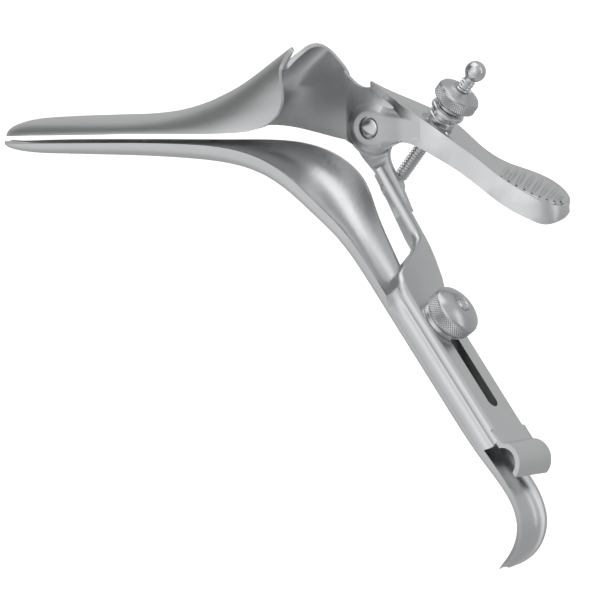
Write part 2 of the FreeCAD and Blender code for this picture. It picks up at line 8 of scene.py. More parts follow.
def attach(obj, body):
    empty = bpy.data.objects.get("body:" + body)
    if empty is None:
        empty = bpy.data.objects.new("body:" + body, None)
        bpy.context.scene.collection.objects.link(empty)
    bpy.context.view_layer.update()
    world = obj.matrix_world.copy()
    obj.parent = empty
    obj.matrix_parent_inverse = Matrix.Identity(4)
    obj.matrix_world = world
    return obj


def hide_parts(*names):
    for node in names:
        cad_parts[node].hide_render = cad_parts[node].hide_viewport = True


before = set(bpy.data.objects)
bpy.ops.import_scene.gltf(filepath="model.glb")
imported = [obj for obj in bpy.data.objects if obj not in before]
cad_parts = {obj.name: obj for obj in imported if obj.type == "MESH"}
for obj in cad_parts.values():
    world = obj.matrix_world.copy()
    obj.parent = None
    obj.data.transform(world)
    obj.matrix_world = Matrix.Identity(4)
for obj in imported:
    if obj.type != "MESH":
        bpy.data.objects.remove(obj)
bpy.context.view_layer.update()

MM = 0.001
# Corners of a node's loose triangles that lie closer than this are one corner, in metres.
LOOSE_GAP = 2e-6

# Places and sizes of the instrument, in millimetres, as in the solids.
SLOPE = math.radians(55.2)
LEAN = math.radians(48.0)
DOWN = Vector((math.cos(SLOPE), 0, -math.sin(SLOPE)))
OUT = Vector((math.sin(SLOPE), 0, math.cos(SLOPE)))
ALONG_ROD = Vector((math.cos(LEAN), 0, math.sin(LEAN)))
ACROSS = Vector((0, 1, 0))
LEVER_HOLE = Vector((22.5, 23.4, 0.5))
ROD_LENGTH = 29.0
ROD_FOOT = LEVER_HOLE - ALONG_ROD * ROD_LENGTH
CLAMP = DOWN * 75.0
THREAD_PITCH = 1.15


# Finishes

def linear(code):
    """Linear colour with alpha from an sRGB hex code."""
    channels = [int(code[i:i + 2], 16) / 255 for i in (1, 3, 5)]
    return [c / 12.92 if c <= 0.04045 else ((c + 0.055) / 1.055) ** 2.4 for c in channels] + [1.0]


def add(tree, kind, settings=None, links=None):
    """Adds a node, sets its values and links its inputs."""
    node = tree.nodes.new(kind)
    for key, value in (settings or {}).items():
        if isinstance(key, int) or key in node.inputs:
            node.inputs[key].default_value = value
        else:
            setattr(node, key, value)
    for key, socket in (links or {}).items():
        tree.links.new(socket, node.inputs[key])
    return node


def blank_material(name):
    """A new material with an empty node tree and its output."""
    material = bpy.data.materials.new(name)
    material.use_nodes = True
    tree = material.node_tree
    tree.nodes.clear()
    return material, tree, add(tree, "ShaderNodeOutputMaterial")


# A Mix node has sockets of the same name for each kind of data, so its colours go by number.
MIX_DARK, MIX_LIGHT, MIX_RESULT = 6, 7, 2
PATCH_MM = 14


def steel(name, light, dark, rough, rough_spread, grain_mm, grain_height_mm, along=(1, 1, 1)):
    """Stainless steel: a blotchy tone, and a grain that roughens the sheen."""
    material, tree, output = blank_material(name)
    place = add(tree, "ShaderNodeTexCoord").outputs["Object"]
    stretched = add(tree, "ShaderNodeMapping", {"Scale": along}, {"Vector": place})
    grain = add(tree, "ShaderNodeTexNoise", {"Scale": 1 / (grain_mm * MM), "Detail": 3.0},
                {"Vector": stretched.outputs["Vector"]})
    patches = add(tree, "ShaderNodeTexNoise", {"Scale": 1 / (PATCH_MM * MM), "Detail": 2.0},
                  {"Vector": place})
    tone = add(tree, "ShaderNodeMix",
               {"data_type": "RGBA", MIX_DARK: linear(dark), MIX_LIGHT: linear(light)},
               {"Factor": patches.outputs["Fac"]})
    sheen = add(tree, "ShaderNodeMapRange",
                {"From Min": 0.3, "From Max": 0.7, "To Min": rough - rough_spread,
                 "To Max": rough + rough_spread}, {"Value": grain.outputs["Fac"]})
    relief = add(tree, "ShaderNodeBump", {"Strength": 1.0, "Distance": grain_height_mm * MM},
                 {"Height": grain.outputs["Fac"]})
    surface = add(tree, "ShaderNodeBsdfPrincipled", {"Metallic": 1.0},
                  {"Base Color": tone.outputs[MIX_RESULT], "Roughness": sheen.outputs["Result"],
                   "Normal": relief.outputs["Normal"]})
    tree.links.new(surface.outputs["BSDF"], output.inputs["Surface"])
    return material


# Each finish is the name of a slot and its material.
# Stainless steel, glass-bead blasted and brushed: an even grey sheen with soft, wide highlights.
SATIN = ("satin_steel",
         steel("satin_stainless_steel", "#DADBDC", "#D2D3D4", 0.33, 0.04, 0.5, 0.002, (0.25, 1, 1)))
# Stainless steel, buffed: screws, rings and threads throw sharp reflections.
BRIGHT = ("bright_steel", steel("buffed_stainless_steel", "#D8D9DA", "#CDCFD0", 0.16, 0.03, 1.0, 0.001))
# Stainless steel, knurled with a rolling tool: bright points with darker grooves.
KNURLED = ("knurled_steel",
           steel("knurled_stainless_steel", "#CDCFD0", "#BDBFC1", 0.24, 0.05, 0.6, 0.004))


# Making pieces

def piece(name, build, body, finish, node=None, smooth_angle=35):
    """Makes an object from a bmesh, shades it, and puts it on its body in place of its node."""
    slot, material = finish
    mesh = bpy.data.meshes.new(name)
    build.to_mesh(mesh)
    build.free()
    mesh.materials.append(material)
    mesh.shade_smooth()
    mesh.set_sharp_from_angle(angle=math.radians(smooth_angle))
    thing = bpy.data.objects.new(name, mesh)
    bpy.context.scene.collection.objects.link(thing)
    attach(thing, body)
    if node:
        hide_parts(node)
    return thing


def rounded(thing, width_mm, angle=40):
    """Breaks the edges that turn by more than an angle, as the finisher's wheel leaves them."""
    bevel = thing.modifiers.new("broken_edges", "BEVEL")
    bevel.width = width_mm * MM
    bevel.segments = 3
    bevel.limit_method = "ANGLE"
    bevel.angle_limit = math.radians(angle)
    bevel.use_clamp_overlap = True
    bevel.harden_normals = True


def stand(build, base, direction):
    """Stands a shape made round +Z in millimetres on its base, with +Z along its direction."""
    turn = direction.to_track_quat("Z", "Y").to_matrix().to_4x4()
    place = Matrix.Scale(MM, 4) @ Matrix.Translation(base) @ turn
    bmesh.ops.transform(build, matrix=place, verts=build.verts[:])
    return build


def turned(profile, segments=72):
    """A closed profile of (radius, height) spun once round +Z."""
    build = bmesh.new()
    corners = [build.verts.new((radius, 0, height)) for radius, height in profile]
    pairs = zip(corners, corners[1:] + corners[:1])
    rim = [build.edges.new(pair) for pair in pairs]
    bmesh.ops.spin(build, geom=corners + rim, cent=(0, 0, 0), axis=(0, 0, 1), dvec=(0, 0, 0),
                   angle=2 * math.pi, steps=segments, use_merge=True, use_duplicate=False)
    bmesh.ops.remove_doubles(build, verts=build.verts[:], dist=0.0005)
    bmesh.ops.recalc_face_normals(build, faces=build.faces[:])
    return build


def cad_copy(node):
    """A merged copy of a node's mesh."""
    build = bmesh.new()
    build.from_mesh(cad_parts[node].data)
    bmesh.ops.remove_doubles(build, verts=build.verts[:], dist=LOOSE_GAP)
    return build


def smooth_way(one, two, leave, arrive, share):
    """Smooth way from one value to another, with the rates at which it leaves and arrives."""
    return (one * (1 + 2 * share) * (1 - share) ** 2 + two * share ** 2 * (3 - 2 * share)
            + leave * share * (1 - share) ** 2 - arrive * share ** 2 * (1 - share))


def eased(table, place):
    """Row of values on a smooth curve through a table whose first column is the place."""
    last = len(table) - 2
    at = next((k for k in range(last + 1) if place <= table[k + 1][0]), last)
    (x0, *start), (x1, *stop) = table[at], table[at + 1]
    gap = x1 - x0
    share = (place - x0) / gap

    def slope(k, column):
        low, high = max(k - 1, 0), min(k + 1, len(table) - 1)
        return (table[high][column] - table[low][column]) / (table[high][0] - table[low][0])

    return [smooth_way(one, two, slope(at, column) * gap, slope(at + 1, column) * gap, share)
            for column, (one, two) in enumerate(zip(start, stop), start=1)]


# Lower blade

lower = piece("lower_blade_steel", cad_copy("lower_blade"), "lower_half", SATIN, "lower_blade")
rounded(lower, 0.3, angle=60)

# Upper blade

# Height of the lever's upper face along it.
LEVER_TOP = [(1.5, 16.2), (6.5, 12.8), (14.0, 7.3), (22.0, 0.9), (30.0, -5.8), (40.0, -13.5),
             (50.0, -20.3), (60.0, -26.3), (68.0, -30.8)]


def lever_height(x):
    """Height of the lever's upper face at a place along it."""
    for (x0, z0), (x1, z1) in zip(LEVER_TOP, LEVER_TOP[1:]):
        if x <= x1:
            return z0 + (z1 - z0) * (x - x0) / (x1 - x0)
    return LEVER_TOP[-1][1]


# Sections of the upper blade's arch: place, crown height, near and far half widths, near and
# far rim heights, and how full the far side is.
ARCH = [(-138.2, -0.2, 2.2, 2.2, -0.9, -0.9, 0.0), (-137.0, 1.0, 5.0, 5.0, -0.9, -0.9, 0.0),
        (-133.5, 2.3, 8.0, 8.0, -0.7, -0.7, 0.0), (-126.0, 3.5, 10.3, 10.3, -0.4, -0.4, 0.0),
        (-112.0, 4.2, 12.5, 12.4, -0.2, -0.2, 0.0), (-95.0, 4.6, 14.0, 13.8, 0.0, 0.0, 0.0),
        (-79.0, 5.0, 15.2, 14.9, 0.3, 0.3, 0.0), (-65.0, 6.5, 16.4, 15.8, 0.3, 0.3, 0.06),
        (-53.0, 9.4, 17.5, 16.6, 0.3, 0.6, 0.14), (-43.0, 13.2, 18.3, 17.1, 0.4, 1.0, 0.22),
        (-34.5, 17.2, 18.3, 17.1, 0.6, 1.3, 0.29)]
# Free edge of the flare, from the near rim over the crown's notch to the side wall's foot:
# the place across, and the point there.
FLARE_EDGE = [(-1.0, -27.5, -17.9, 1.3), (-0.93, -20.8, -17.8, 3.0), (-0.86, -16.6, -17.7, 6.0),
              (-0.79, -14.2, -17.6, 9.3), (-0.72, -13.5, -17.4, 12.7), (-0.65, -14.0, -17.1, 16.2),
              (-0.57, -14.7, -16.5, 19.6), (-0.49, -14.8, -15.5, 22.6), (-0.40, -13.4, -13.8, 26.2),
              (-0.31, -12.4, -11.4, 28.6), (-0.23, -15.2, -8.2, 27.4), (-0.12, -20.4, -3.8, 23.6),
              (0.0, -23.2, 0.0, 21.4), (0.1, -22.6, 3.4, 23.6), (0.2, -21.3, 7.6, 26.3),
              (0.3, -20.4, 11.6, 28.0), (0.38, -18.9, 14.5, 28.3), (0.46, -16.8, 16.5, 26.9),
              (0.53, -13.7, 17.2, 23.6), (0.6, -10.2, 17.2, 19.15), (0.7, -10.2, 17.2, 13.4),
              (0.8, -10.2, 17.2, 7.6), (0.9, -10.2, 17.2, 1.6), (1.0, -10.2, 17.2, -4.45)]
# Where the bent sheet ends and the copy of the solid's lever begins.
SEAM = -10.2
SHEET = 1.5
# The arch's rows lie close together at the tip.
TIP_ROWS = [-138.2, -138.0, -137.7, -137.3, -136.7, -135.8, -134.6, -133.2, -131.2, -128.6]
ROW_STEP = 2.6
FLARE_START = -43.0
FLARE_ROWS, COLUMNS = 22, 96
ACROSSES = [2 * column / COLUMNS - 1 for column in range(COLUMNS + 1)]
# Places across where the flare starts to turn into the side wall, and where it is the wall.
WALL_FROM, WALL_AT = 0.3, 0.6


def arch_point(x, across):
    """Point of the arch's outer face; across runs from -1 at the near rim to 1 at the far one."""
    crown, near, far, low_near, low_far, full = eased(ARCH, x)
    half, low, full = (far, low_far, full) if across > 0 else (near, low_near, 0.08)
    angle = math.pi / 2 * abs(across)
    reach = math.sin(angle) * (1 + full * math.cos(angle) ** 2)
    drop = 1 - math.cos(angle) * (1 + full * math.sin(angle) ** 2)
    return Vector((x, math.copysign(half * reach, across), crown + (low - crown) * drop))


def arch_places():
    """Where the arch's rows lie along the blade."""
    places = list(TIP_ROWS)
    while places[-1] < FLARE_START - 3.0:
        places.append(places[-1] + ROW_STEP)
    places[-1] = FLARE_START
    return places


def flare_point(across, share):
    """Point of the flare's outer face, on its way from the arch to the free edge."""
    foot = arch_point(FLARE_START, across)
    run = arch_point(FLARE_START + 0.5, across) - arch_point(FLARE_START - 0.5, across)
    edge = Vector(eased(FLARE_EDGE, across))
    leave = run.normalized() * (edge - foot).length
    arrive = edge - foot
    if across > WALL_FROM:
        arrive.y *= max(0.0, (WALL_AT - across) / (WALL_AT - WALL_FROM))
    return smooth_way(foot, edge, leave, arrive, share)


def thickness(x, across, share):
    """Of the sheet: thinner at the tip, thicker where the flare has become the side wall."""
    if share and across > WALL_FROM:
        return SHEET + 0.3 * share ** 2 * min(1.0, (across - WALL_FROM) / 0.2)
    if share:
        return SHEET
    crown, near, _, low = eased(ARCH, x)[:4]
    return min(SHEET, 0.4 * (crown - low), 0.4 * near)


def upper_sheet():
    """Arch, flare and side wall of the upper blade: a flat double grid bent into one sheet."""
    places = arch_places()
    shares = [0.0] * len(places) + [step / FLARE_ROWS for step in range(1, FLARE_ROWS + 1)]
    places += [FLARE_START] * FLARE_ROWS
    outer = [[flare_point(across, share) if share else arch_point(x, across) for across in ACROSSES]
             for x, share in zip(places, shares)]
    last = len(outer) - 1
    build = bmesh.new()
    bmesh.ops.create_grid(build, x_segments=last, y_segments=COLUMNS, size=0.5)
    bmesh.ops.transform(build, matrix=Matrix.Diagonal((last, COLUMNS, 1, 1)), verts=build.verts[:])
    bmesh.ops.translate(build, verts=build.verts[:], vec=(last / 2, COLUMNS / 2, 0))
    grown = bmesh.ops.extrude_face_region(build, geom=build.faces[:])["geom"]
    inner = [part for part in grown if isinstance(part, bmesh.types.BMVert)]
    bmesh.ops.translate(build, verts=inner, vec=(0, 0, 1))
    seam = [face for face in build.faces
            if all(vert.co.x > last - 0.5 and ACROSSES[round(vert.co.y)] > WALL_AT - 0.005
                   for vert in face.verts)]
    bmesh.ops.delete(build, geom=seam, context="FACES")
    for vert in build.verts:
        row, column, inside = (round(value) for value in vert.co)
        before, after = max(row - 1, 0), min(row + 1, last)
        left, right = max(column - 1, 0), min(column + 1, COLUMNS)
        across_sheet = outer[row][right] - outer[row][left]
        out = across_sheet.cross(outer[after][column] - outer[before][column]).normalized()
        wall = thickness(places[row], ACROSSES[column], shares[row])
        vert.co = outer[row][column] - out * (wall * inside)
    bmesh.ops.recalc_face_normals(build, faces=build.faces[:])
    bmesh.ops.scale(build, vec=(MM, MM, MM), verts=build.verts[:])
    return build


# How far the web under the thumb pad is thinned, by place across the lever.
WEB_THINNING = [(28, 0.0), (31, 0.02), (35, 0.22), (39, 0.55), (43, 0.92), (48, 1.0), (60, 1.0)]
WEB_FROM_X, WEB_FROM_Y = 50, 28
PAD_THICKNESS = 2.4


def lever_and_pad():
    """The lever beyond the seam, with its end's web tapered away from the near edge."""
    build = cad_copy("upper_blade")
    bmesh.ops.bisect_plane(build, geom=build.verts[:] + build.edges[:] + build.faces[:], dist=1e-7,
                           plane_co=(SEAM * MM, 0, 0), plane_no=(1, 0, 0), clear_inner=True)
    for vert in build.verts:
        x, y, z = vert.co / MM
        web = lever_height(x) - PAD_THICKNESS - z
        if x > WEB_FROM_X and y > WEB_FROM_Y and web > 0:
            kept = 1 - 0.8 * eased(WEB_THINNING, y)[0]
            vert.co.z = (lever_height(x) - PAD_THICKNESS - web * kept) * MM
    return build


sheet = piece("upper_blade_steel", upper_sheet(), "upper_half", SATIN, "upper_blade")
rounded(sheet, 0.45)
lever = piece("lever_steel", lever_and_pad(), "upper_half", SATIN)
rounded(lever, 0.5)

# The side wall's lower edge and the ridge above it, between which the hub lies.
WALL_FOOT = [(-12.0, -9.0), (-5.6, -8.6), (-1.0, -8.8), (4.2, -8.3), (8.6, -6.3), (13.0, -5.1),
             (17.9, -5.3), (21.7, -7.4), (26.0, -9.8)]
WALL_RIDGE = [(-12.0, 12.0), (0.9, 12.0), (5.7, 10.6), (10.5, 8.4), (15.5, 5.6), (20.2, 2.9), (26.0, -0.6)]
# The hub's outline: a disc, and an arm that runs from it to ARM_END and tapers.
DISC_RADIUS, ARM_RADIUS, ARM_TAPER = 9.0, 8.2, 1.6
ARM_END, ARM_DROP, BLEND = 24, 1.0, 3
# Faces across the hinge line: the hub's, the side wall's, and the hub's back inside the wall.
HUB_FACE, WALL_FACE, HUB_BACK = 13.98, 15.55, 16.0
# How far the arm's face comes nearer, by place along the lever.
ARM_SWELL = [(-20, 0.0), (5, 0.0), (9, 0.3), (14, 1.0), (30, 1.0)]
# Width of the hub's flank, its end along the lever, the screw's seat and the spacing of its rings.
HUB_FLANK, HUB_CUT, SEAT_RADIUS, HUB_RING = 3.4, 21.5, 3.98, 0.48


def clamped(value):
    return max(0.0, min(1.0, value))


def hub_depth(x, z):
    """How far a spot lies inside the hub's outline."""
    disc = DISC_RADIUS - math.hypot(x, z)
    share = clamped(x / ARM_END)
    arm = ARM_RADIUS - ARM_TAPER * share - math.hypot(x - ARM_END * share, z + ARM_DROP * share)
    blend = clamped(0.5 + 0.5 * (arm - disc) / BLEND)
    return disc * (1 - blend) + arm * blend + BLEND * blend * (1 - blend)


def hub():
    """Swelling of the side wall round the screw, that runs out into the lever's near edge."""
    build = bmesh.new()
    rings, spokes = 44, 120
    corners = [build.verts.new((SEAT_RADIUS + HUB_RING * ring, 0, 0)) for ring in range(rings)]
    edges = [build.edges.new(pair) for pair in zip(corners, corners[1:])]
    bmesh.ops.spin(build, geom=corners + edges, cent=(0, 0, 0), axis=(0, 1, 0), dvec=(0, 0, 0),
                   angle=2 * math.pi, steps=spokes, use_merge=True, use_duplicate=False)
    bmesh.ops.remove_doubles(build, verts=build.verts[:], dist=0.001)
    outside = []
    for vert in build.verts:
        x, z = vert.co.x, vert.co.z
        depth = hub_depth(x, z)
        if depth < -0.3 or x > HUB_CUT or not eased(WALL_FOOT, x)[0] < z < eased(WALL_RIDGE, x)[0]:
            outside.append(vert)
        rise = clamped(depth / HUB_FLANK)
        face = HUB_FACE - 0.42 * eased(ARM_SWELL, x)[0]
        vert.co.y = WALL_FACE + (face - WALL_FACE) * rise * rise * (3 - 2 * rise)
    bmesh.ops.delete(build, geom=outside, context="VERTS")
    rim = [edge for edge in build.edges if edge.is_boundary]
    grown = bmesh.ops.extrude_edge_only(build, edges=rim)["geom"]
    for vert in grown:
        if isinstance(vert, bmesh.types.BMVert):
            vert.co.y = HUB_BACK
    bmesh.ops.recalc_face_normals(build, faces=build.faces[:])
    nearest = max(build.faces, key=lambda face: -face.calc_center_median().y)
    if nearest.normal.y > 0:
        bmesh.ops.reverse_faces(build, faces=build.faces[:])
    bmesh.ops.scale(build, vec=(MM, MM, MM), verts=build.verts[:])
    return build


piece("hub_steel", hub(), "upper_half", SATIN, smooth_angle=50)

# Slide frame

# Height of the slide's face across the handle.
SLIDE_FACE = -7.5
# Across the near flange: depth below the slide's face, depth to show, and sideways shift inwards.
FLANGE = [(1.0, 1.0, 0.0), (2.0, 2.0, 0.0), (2.6, 2.6, 0.1), (3.0, 3.0, 0.45), (3.4, 3.4, 0.8),
          (3.8, 3.75, 0.85), (4.3, 4.2, 0.5), (4.9, 4.7, 0.0), (5.6, 5.3, -0.4), (6.5, 6.0, -0.65),
          (7.5, 6.8, -0.7), (8.5, 7.6, -0.55), (9.5, 8.4, -0.2), (10.3, 9.0, 0.25), (11.0, 9.6, 0.7)]
FLANGE_DEPTHS = (1.0, 11.6)
# The flange lies beyond this place across; its shape fades in along the handle from its start.
FLANGE_SIDE, FLANGE_START, FLANGE_FADE = -7, 57, 9
# Upper limit of the arm across the handle, by place along it.
ARM_TOP = [(0, -3.7), (20, -3.7), (26, -4.5), (32, -5.7), (38, -5.8)]
ARM_SIDE, ARM_RUN = 17, (20, 36)


def handle_place(co):
    """Place along the handle and height across it, in millimetres."""
    return co.dot(DOWN) / MM, co.dot(OUT) / MM


def shaped_slide():
    """The frame with a creased, rounded near flange and a straight, trimmed arm."""
    build = cad_copy("frame")
    for depth, *_ in FLANGE:
        near = [face for face in build.faces if face.calc_center_median().y < (FLANGE_SIDE + 1) * MM]
        edges = {edge for face in near for edge in face.edges}
        verts = {vert for face in near for vert in face.verts}
        bmesh.ops.bisect_plane(build, geom=near + list(edges) + list(verts), dist=1e-7,
                               plane_co=OUT * ((SLIDE_FACE - depth) * MM), plane_no=OUT)
    shallow, deep = FLANGE_DEPTHS
    for vert in build.verts:
        along, height = handle_place(vert.co)
        y = vert.co.y / MM
        depth = SLIDE_FACE - height
        if y < FLANGE_SIDE and along > FLANGE_START and shallow < depth < deep:
            share = min(1.0, (along - FLANGE_START) / FLANGE_FADE)
            shown, shift = eased(FLANGE, depth)
            vert.co -= OUT * ((shown - depth) * share * MM)
            vert.co.y += shift * share * MM
        if y > ARM_SIDE and ARM_RUN[0] < along < ARM_RUN[1]:
            vert.co += OUT * (min(0.0, eased(ARM_TOP, along)[0] - height) * MM)
    return build


slide = piece("slide_frame_steel", shaped_slide(), "slide_frame", SATIN, "frame")
rounded(slide, 0.3, angle=55)

# Thumb pad

# Plan of the ridges' ends on the lever: first the near end, then the far end.
RIDGES = [((46.3, 25.6), (42.6, 36.6)), ((48.8, 26.3), (43.4, 40.6)), ((51.3, 27.2), (44.8, 43.8)),
          ((53.7, 28.3), (46.6, 46.4)), ((56.1, 29.4), (48.9, 48.3)), ((58.3, 30.8), (51.6, 49.4)),
          ((60.1, 32.6), (54.5, 49.4)), ((61.5, 35.0), (57.2, 48.2)), ((62.0, 38.4), (59.6, 45.8))]
# Section across a ridge: a rounded crest with hollow flanks, that runs out into the flutes.
CREST = [(-1.3, -0.5), (-1.1, -0.05), (-0.75, 0.1), (-0.45, 0.34), (-0.22, 0.62), (0.0, 0.72),
         (0.22, 0.62), (0.45, 0.34), (0.75, 0.1), (1.1, -0.05), (1.3, -0.5)]
RIDGE_RISE, RIDGE_SINK = 1.8, 0.08


def serrations():
    """Ridges across the thumb pad, each a section drawn out from its near end to its far end."""
    build = bmesh.new()
    steps = 14
    for near, far in RIDGES:
        near, far = Vector(near), Vector(far)
        side = Vector((far.y - near.y, near.x - far.x)).normalized()
        fall = lever_height(near.x + 1) - lever_height(near.x)
        out = Vector((-fall, 0, 1)).normalized()
        corners = [build.verts.new((across, 0, rise)) for across, rise in CREST]
        edges = [build.edges.new(pair) for pair in zip(corners, corners[1:])]
        rows = [corners]
        for step in range(steps):
            grown = bmesh.ops.extrude_edge_only(build, edges=edges)["geom"]
            row = [part for part in grown if isinstance(part, bmesh.types.BMVert)]
            row.sort(key=lambda vert: vert.co.x)
            edges = [part for part in grown if isinstance(part, bmesh.types.BMEdge)]
            rows.append(row)
        for number, row in enumerate(rows):
            share = number / steps
            swell = math.sqrt(math.sin(math.pi * (0.04 + 0.92 * share)))
            spot = near.lerp(far, share)
            for vert, (across, rise) in zip(row, CREST):
                flat = spot + side * across * (0.35 + 0.65 * swell)
                level = Vector((flat.x, flat.y, lever_height(flat.x)))
                vert.co = level + out * (RIDGE_RISE * rise * swell - RIDGE_SINK)
    bmesh.ops.recalc_face_normals(build, faces=build.faces[:])
    bmesh.ops.scale(build, vec=(MM, MM, MM), verts=build.verts[:])
    return build


piece("thumb_pad_serrations", serrations(), "upper_half", SATIN)

# Turned pieces

HINGE_AXIS = (Vector(), ACROSS)
RIVET_AXIS = (Vector((ROD_FOOT.x, 0, ROD_FOOT.z)), ACROSS)
ROD_AXIS = (LEVER_HOLE, ALONG_ROD)
CLAMP_AXIS = (CLAMP, OUT)
RIM_ROWS = 8


def spun(name, profile, axis, body, finish, node, segments=72):
    """A turned piece that stands on its axis."""
    return piece(name, stand(turned(profile, segments), *axis), body, finish, node)


def rim_rows(radius, low, high):
    """Rows of a nut's straight rim, which the knurl needs."""
    return [(radius, low + (high - low) * row / RIM_ROWS) for row in range(RIM_ROWS + 1)]


def knurl(build, radius, low, high, teeth, height):
    """Raises every other point of a rim's grid, so that diamonds stand between crossed grooves."""
    slack = 0.01
    raised = []
    grooves = []
    for vert in build.verts:
        across = math.hypot(vert.co.x, vert.co.y)
        if abs(across - radius) > slack or not low - slack < vert.co.z < high + slack:
            continue
        column = round(math.atan2(vert.co.y, vert.co.x) / (math.pi / teeth))
        row = round((vert.co.z - low) / (high - low) * RIM_ROWS)
        if (column + row) % 2 == 0 and 0 < row < RIM_ROWS:
            raised.append(vert)
        else:
            grooves.append(vert)
    bmesh.ops.connect_verts(build, verts=grooves)
    for vert in raised:
        vert.co.x *= (radius + height) / radius
        vert.co.y *= (radius + height) / radius


def knurled_nut(name, profile, rim, teeth, height, axis, body, node):
    """A turned nut with a knurled rim."""
    build = turned(profile, 2 * teeth)
    knurl(build, *rim, teeth, height)
    return piece(name, stand(build, *axis), body, KNURLED, node, smooth_angle=25)


HINGE_END = [(0.0, 14.3), (2.2, 14.3), (2.9, 14.45), (3.3, 14.8), (3.4, 15.2), (3.4, 15.6), (2.5, 15.6),
             (2.5, 23.1), (2.2, 23.4), (0.0, 23.4)]
WASHER = [(2.6, 17.27), (5.4, 17.27), (5.6, 17.4), (5.6, 17.8), (5.4, 17.93), (2.6, 17.93)]
HINGE_NUT = [(2.52, 20.03), (4.2, 20.03), (4.4, 20.2), (4.4, 22.2), (4.2, 22.7), (3.7, 23.1), (2.52, 23.1)]
RIVET = [(0.0, 17.7), (1.3, 17.72), (1.7, 17.9), (1.7, 24.85), (3.2, 24.85),
         (3.4, 25.1), (3.2, 25.6), (2.6, 25.92), (0.0, 25.95)]
spun("hinge_screw_steel", HINGE_END, HINGE_AXIS, "slide_frame", BRIGHT, "hinge_screw")
spun("hinge_washer_steel", WASHER, HINGE_AXIS, "slide_frame", BRIGHT, "hinge_washer")
spun("hinge_nut_steel", HINGE_NUT, HINGE_AXIS, "slide_frame", BRIGHT, "hinge_nut")
spun("rod_rivet_steel", RIVET, RIVET_AXIS, "slide_frame", SATIN, "rod_rivet")

THUMB_BORE = 2.47
THUMB_RIM = (7.72, 10.5, 14.1)
THUMB_NUT = ([(THUMB_BORE, 7.55), (4.3, 7.55), (4.5, 7.75), (4.5, 9.45), (4.7, 9.62), (6.4, 9.62),
              (6.8, 9.75)]
             + rim_rows(*THUMB_RIM)
             + [(7.35, 14.75), (7.0, 14.95), (6.2, 15.35), (5.2, 15.8), (4.3, 16.25), (3.8, 16.55),
                (3.4, 16.6), (3.1, 16.3), (THUMB_BORE, 16.2)])
knurled_nut("thumb_nut_steel", THUMB_NUT, THUMB_RIM, 54, 0.27, ROD_AXIS, "nut", "thumb_nut")

COLLAR = [(2.77, -1.2), (3.7, -1.2), (3.9, -1.0), (3.9, 1.8), (5.0, 1.8), (5.3, 2.1), (5.3, 3.6),
          (4.9, 3.98), (3.9, 4.0), (3.9, 5.6), (5.8, 5.6), (6.2, 5.9), (6.3, 6.5), (6.2, 7.1),
          (5.8, 7.45), (2.77, 7.5)]
spun("swivel_collar_steel", COLLAR, ROD_AXIS, "nut_swivel", BRIGHT, "nut_collar")

# The ball's neck grips the rod, and its bore stops inside it.
BALL_CENTRE, BALL, BALL_BORE, BORE_END, BALL_STEPS = 24.5, 3.7, 2.41, 21.92, 18


def ball_profile():
    """Outline of the ball from its neck over its far pole, and back through the bore."""
    neck = math.asin(BALL_BORE / BALL)
    turns = [neck + (math.pi - neck) * step / BALL_STEPS for step in range(BALL_STEPS)]
    outline = [(BALL * math.sin(turn), BALL_CENTRE - BALL * math.cos(turn)) for turn in turns]
    return outline + [(0.0, BALL_CENTRE + BALL), (0.0, BORE_END), (BALL_BORE, BORE_END)]


spun("rod_ball_steel", ball_profile(), ROD_AXIS, "screw_rod", BRIGHT, "rod_ball")

# The thread's core and crest, half the crest's flat, and how deep its roots sink into the core.
CORE, CREST_RADIUS, CREST_FLAT, SUNK = 1.95, 2.4, 0.08, 0.12
THREAD_START, ROD_END, ROD_CHAMFER = 4.6, ROD_LENGTH + 21.8, 0.3
STEPS_PER_TURN = 20


def threaded_rod():
    """Rod from inside its eye to inside the ball, with a helical thread."""
    foot = 2.0
    build = turned([(0.0, foot), (CORE, foot), (CORE, ROD_END - ROD_CHAMFER),
                    (CORE - ROD_CHAMFER, ROD_END), (0.0, ROD_END)], 24)
    turns = int((ROD_END - THREAD_START - 2 * ROD_CHAMFER) / THREAD_PITCH)
    steps = turns * STEPS_PER_TURN
    half = THREAD_PITCH / 2 * 0.98
    tooth = [(CORE - SUNK, -half), (CREST_RADIUS, -CREST_FLAT), (CREST_RADIUS, CREST_FLAT),
             (CORE - SUNK, half)]
    points = [build.verts.new((radius, 0, THREAD_START + height)) for radius, height in tooth]
    edges = [build.edges.new(pair) for pair in zip(points, points[1:])]
    bmesh.ops.spin(build, geom=points + edges, cent=(0, 0, 0), axis=(0, 0, 1),
                   dvec=(0, 0, THREAD_PITCH * turns / steps), angle=2 * math.pi * turns, steps=steps,
                   use_merge=False, use_duplicate=False)
    bmesh.ops.remove_doubles(build, verts=build.verts[:], dist=0.004)
    bmesh.ops.recalc_face_normals(build, faces=build.faces[:])
    return stand(build, ROD_FOOT, ALONG_ROD)


piece("threaded_rod_steel", threaded_rod(), "screw_rod", BRIGHT, "rod", smooth_angle=30)

# Flat round eye that turns on the rivet.
EYE = [(1.8, -1.3), (4.1, -1.3), (4.3, -1.1), (4.3, 1.1), (4.1, 1.3), (1.8, 1.3)]
spun("rod_eye_steel", EYE, (ROD_FOOT, ACROSS), "screw_rod", BRIGHT, None, 48)

